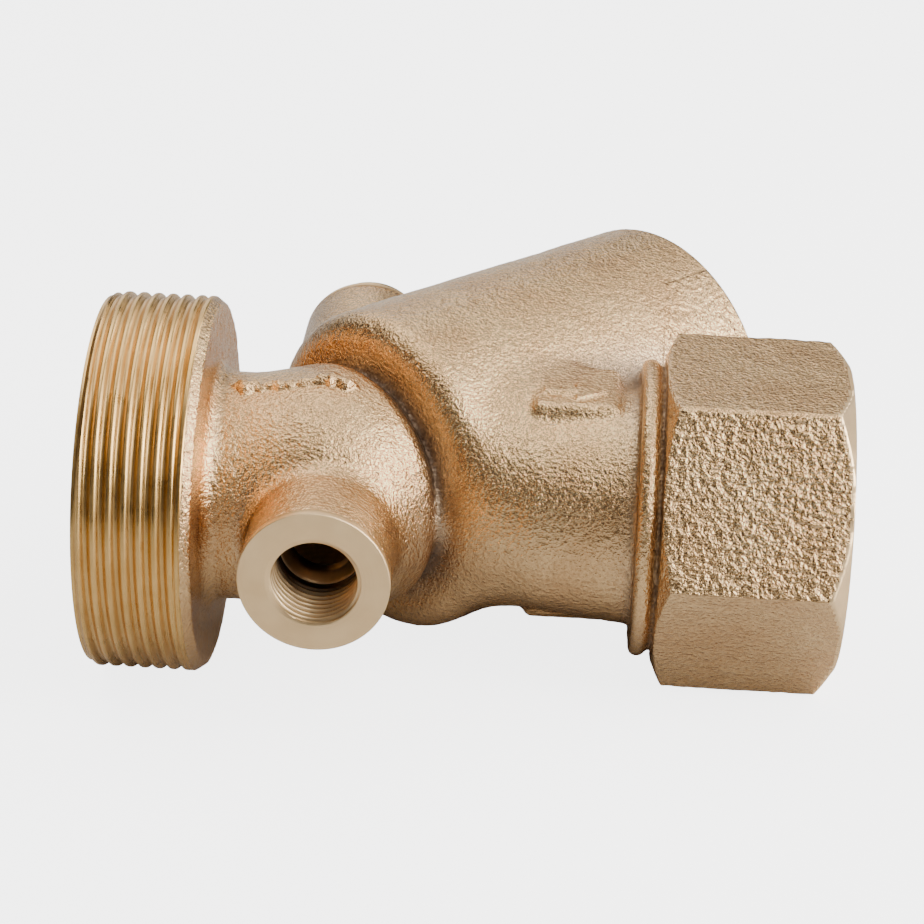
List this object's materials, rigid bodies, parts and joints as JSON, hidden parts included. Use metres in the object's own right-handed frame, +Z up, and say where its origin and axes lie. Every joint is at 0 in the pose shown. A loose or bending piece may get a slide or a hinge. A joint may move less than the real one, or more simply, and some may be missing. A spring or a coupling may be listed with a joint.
{
  "type": "y strainer",
  "caption": "Bronze Y strainer body with a male union thread, a female hexagon pipe end, test ports and a barrel with a screwed cap over a removable screen.",
  "frame": {"origin": "middle of the bottom of the bounding box, as the strainer lies on its side with the barrel level", "axes": "+X along the flow from the union thread to the hexagon, +Y to the side the barrel leans to, +Z up, normal to the plane of symmetry"},
  "size_m": [0.1166, 0.1004, 0.0596],
  "materials": {
    "cast_bronze": "satin",
    "turned_brass": "satin",
    "stainless_steel": "satin",
    "sealing_fibre": "matte"
  },
  "bodies": {
    "casting": {"strainer_body": "cast_bronze"},
    "screen": {"screen_tube": "stainless_steel", "screen_mesh": "stainless_steel", "screen_seat_ring": "stainless_steel", "screen_cap_ring": "stainless_steel"},
    "gasket": {"cap_gasket": "sealing_fibre"},
    "cap": {"cap": "turned_brass"},
    "drain_washer": {"drain_washer": "sealing_fibre"},
    "drain_plug": {"drain_plug": "turned_brass"},
    "rear_washer": {"rear_port_washer": "sealing_fibre"},
    "rear_plug": {"rear_port_plug": "turned_brass"}
  },
  "joints": [
    {"name": "screen_withdrawal", "type": "slide", "parent": "casting", "child": "screen", "axis": [0.7071, 0.7071, 0], "range_m": [0, 0.08]},
    {"name": "cap_lift", "type": "slide", "parent": "screen", "child": "gasket", "axis": [0.7071, 0.7071, 0], "range_m": [0, 0.015]},
    {"name": "cap_turn", "type": "hinge", "parent": "gasket", "child": "cap", "pos_m": [-0.022, -0.01927, 0.02981], "axis": [0.7071, 0.7071, 0], "range_deg": [0, 3600]},
    {"name": "drain_lift", "type": "slide", "parent": "cap", "child": "drain_washer", "axis": [0.7071, 0.7071, 0], "range_m": [0, 0.0107]},
    {"name": "drain_turn", "type": "hinge", "parent": "drain_washer", "child": "drain_plug", "pos_m": [-0.022, -0.01927, 0.02981], "axis": [0.7071, 0.7071, 0], "range_deg": [0, 2880]},
    {"name": "rear_plug_lift", "type": "slide", "parent": "casting", "child": "rear_washer", "axis": [0, 1, 0], "range_m": [0, 0.0107]},
    {"name": "rear_plug_turn", "type": "hinge", "parent": "rear_washer", "child": "rear_plug", "pos_m": [-0.02155, 0.04, 0.02981], "axis": [0, 1, 0], "range_deg": [0, 2880]}
  ],
  "couplings": [
    {"joint": "cap_lift", "follows": "cap_turn", "m_per_rad": 0.00023873},
    {"joint": "drain_lift", "follows": "drain_turn", "m_per_rad": 0.00021279},
    {"joint": "rear_plug_lift", "follows": "rear_plug_turn", "m_per_rad": 0.00021279}
  ]
}
